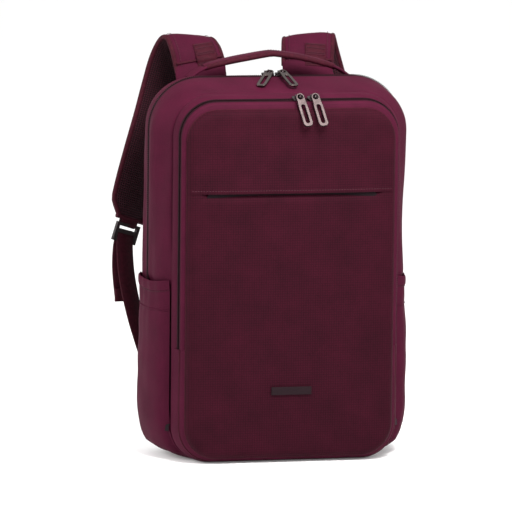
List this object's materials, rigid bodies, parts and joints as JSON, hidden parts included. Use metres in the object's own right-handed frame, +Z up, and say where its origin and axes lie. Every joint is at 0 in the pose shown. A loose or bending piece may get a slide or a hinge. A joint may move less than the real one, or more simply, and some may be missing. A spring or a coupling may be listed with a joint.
{
  "type": "travel backpack",
  "caption": "Rectangular travel backpack with a zipped main compartment, a zipped front compartment, side pockets, a haul handle and padded shoulder straps.",
  "frame": {"origin": "centre of the flat base, on the ground", "axes": "+X to the right when facing the front panel, +Y towards the wearer, +Z up along the height of the pack"},
  "size_m": [0.3354, 0.2385, 0.4684],
  "materials": {
    "panel_ripstop": "woven polyester with a small square grid, faint sheen",
    "gusset_polyester": "fine plain-weave polyester, faint sheen",
    "strap_polyester": "woven polyester over foam",
    "webbing": "ribbed woven tape",
    "spacer_mesh": "dark three-dimensional spacer mesh",
    "back_fabric": "woven polyester over foam",
    "lining": "thin woven lining",
    "zip_coil": "nylon coil on woven tape",
    "zip_slider": "dark plated zinc",
    "zip_pull": "satin nickel-plated zinc with a warm cast",
    "buckle_plastic": "moulded acetal, fine texture",
    "frame_plastic": "extruded polyethylene sheet",
    "badge_plastic": "blank soft plastic badge"
  },
  "bodies": {
    "pack": {"back_pad_left": "spacer_mesh", "back_pad_right": "spacer_mesh", "back_panel": "back_fabric", "badge": "badge_plastic", "base_panel": "gusset_polyester", "frame_sheet": "frame_plastic", "front_panel_base": "panel_ripstop", "handle_tab_left": "webbing", "handle_tab_right": "webbing", "laptop_sleeve": "lining", "lower_gusset_left": "gusset_polyester", "lower_gusset_right": "gusset_polyester", "lower_side_left": "gusset_polyester", "lower_side_right": "gusset_polyester", "lumbar_pad": "spacer_mesh", "main_zip_rear_tape": "zip_coil", "pocket_hem_left": "webbing", "pocket_hem_right": "webbing", "rear_gusset": "gusset_polyester", "side_pocket_left": "gusset_polyester", "side_pocket_right": "gusset_polyester", "strap_yoke_left": "strap_polyester", "strap_yoke_right": "strap_polyester", "webbing_wing_left": "webbing", "webbing_wing_right": "webbing"},
    "front_section": {"front_zip_rear_tape": "zip_coil", "front_gusset": "gusset_polyester", "main_gusset": "gusset_polyester", "main_zip_front_tape": "zip_coil", "divider_panel": "lining", "organizer_pocket": "lining"},
    "front_flap": {"front_panel_upper": "panel_ripstop", "front_panel_lower": "panel_ripstop", "rim_gusset": "panel_ripstop", "front_zip_front_tape": "zip_coil", "slip_pocket_lining": "lining"},
    "main_slider_left": {"main_slider_left": "zip_slider"},
    "main_slider_right": {"main_slider_right": "zip_slider"},
    "main_pull_left": {"main_pull_left": "zip_pull"},
    "main_pull_right": {"main_pull_right": "zip_pull"},
    "front_slider_left": {"front_slider_left": "zip_slider"},
    "front_slider_right": {"front_slider_right": "zip_slider"},
    "front_pull_left": {"front_pull_left": "zip_pull"},
    "front_pull_right": {"front_pull_right": "zip_pull"},
    "haul_handle": {"haul_handle": "strap_polyester"},
    "strap_left": {"shoulder_pad_left": "strap_polyester", "strap_mesh_left": "spacer_mesh", "strap_keeper_left": "webbing", "adjuster_webbing_left": "webbing", "webbing_tail_left": "webbing"},
    "ladder_lock_left": {"ladder_lock_left": "buckle_plastic"},
    "strap_right": {"shoulder_pad_right": "strap_polyester", "strap_mesh_right": "spacer_mesh", "strap_keeper_right": "webbing", "adjuster_webbing_right": "webbing", "webbing_tail_right": "webbing"},
    "ladder_lock_right": {"ladder_lock_right": "buckle_plastic"}
  },
  "joints": [
    {"name": "front_section_fold", "type": "hinge", "parent": "pack", "child": "front_section", "pos_m": [0, -0.079, 0.129], "axis": [1, 0, 0], "range_deg": [0, 25]},
    {"name": "front_flap_fold", "type": "hinge", "parent": "front_section", "child": "front_flap", "pos_m": [0, -0.079, 0.129], "axis": [1, 0, 0], "range_deg": [0, 50]},
    {"name": "main_slider_left_run", "type": "slide", "parent": "front_section", "child": "main_slider_left", "axis": [-1, 0, 0], "range_m": [0, 0.07]},
    {"name": "main_pull_left_lift", "type": "hinge", "parent": "main_slider_left", "child": "main_pull_left", "pos_m": [-0.0095, 0.0036, 0.4319], "axis": [-0.866, 0.5, 0], "range_deg": [0, 80]},
    {"name": "main_slider_right_run", "type": "slide", "parent": "front_section", "child": "main_slider_right", "axis": [1, 0, 0], "range_m": [0, 0.07]},
    {"name": "main_pull_right_lift", "type": "hinge", "parent": "main_slider_right", "child": "main_pull_right", "pos_m": [0.006, 0.0036, 0.4319], "axis": [-0.9877, -0.1564, 0], "range_deg": [0, 80]},
    {"name": "front_slider_left_run", "type": "slide", "parent": "front_flap", "child": "front_slider_left", "axis": [-1, 0, 0], "range_m": [0, 0.05]},
    {"name": "front_pull_left_lift", "type": "hinge", "parent": "front_slider_left", "child": "front_pull_left", "pos_m": [0.0095, -0.0642, 0.41], "axis": [-1, 0, 0], "range_deg": [0, 90]},
    {"name": "front_slider_right_run", "type": "slide", "parent": "front_flap", "child": "front_slider_right", "axis": [1, 0, 0], "range_m": [0, 0.05]},
    {"name": "front_pull_right_lift", "type": "hinge", "parent": "front_slider_right", "child": "front_pull_right", "pos_m": [0.027, -0.0642, 0.41], "axis": [-1, 0, 0], "range_deg": [0, 90]},
    {"name": "haul_handle_swing", "type": "hinge", "parent": "pack", "child": "haul_handle", "pos_m": [0, 0.048, 0.434], "axis": [1, 0, 0], "range_deg": [-40, 40]},
    {"name": "strap_left_swing", "type": "hinge", "parent": "pack", "child": "strap_left", "pos_m": [-0.07, 0.085, 0.43], "axis": [-0.1691, -0.0146, -0.9855], "range_deg": [-12, 12]},
    {"name": "ladder_lock_left_tilt", "type": "hinge", "parent": "strap_left", "child": "ladder_lock_left", "pos_m": [-0.143, 0.128, 0.248], "axis": [1, 0, 0], "range_deg": [0, 20]},
    {"name": "strap_right_swing", "type": "hinge", "parent": "pack", "child": "strap_right", "pos_m": [0.055, 0.085, 0.43], "axis": [0.2111, -0.0145, -0.9774], "range_deg": [-12, 12]},
    {"name": "ladder_lock_right_tilt", "type": "hinge", "parent": "strap_right", "child": "ladder_lock_right", "pos_m": [0.143, 0.128, 0.248], "axis": [1, 0, 0], "range_deg": [0, 20]}
  ]
}
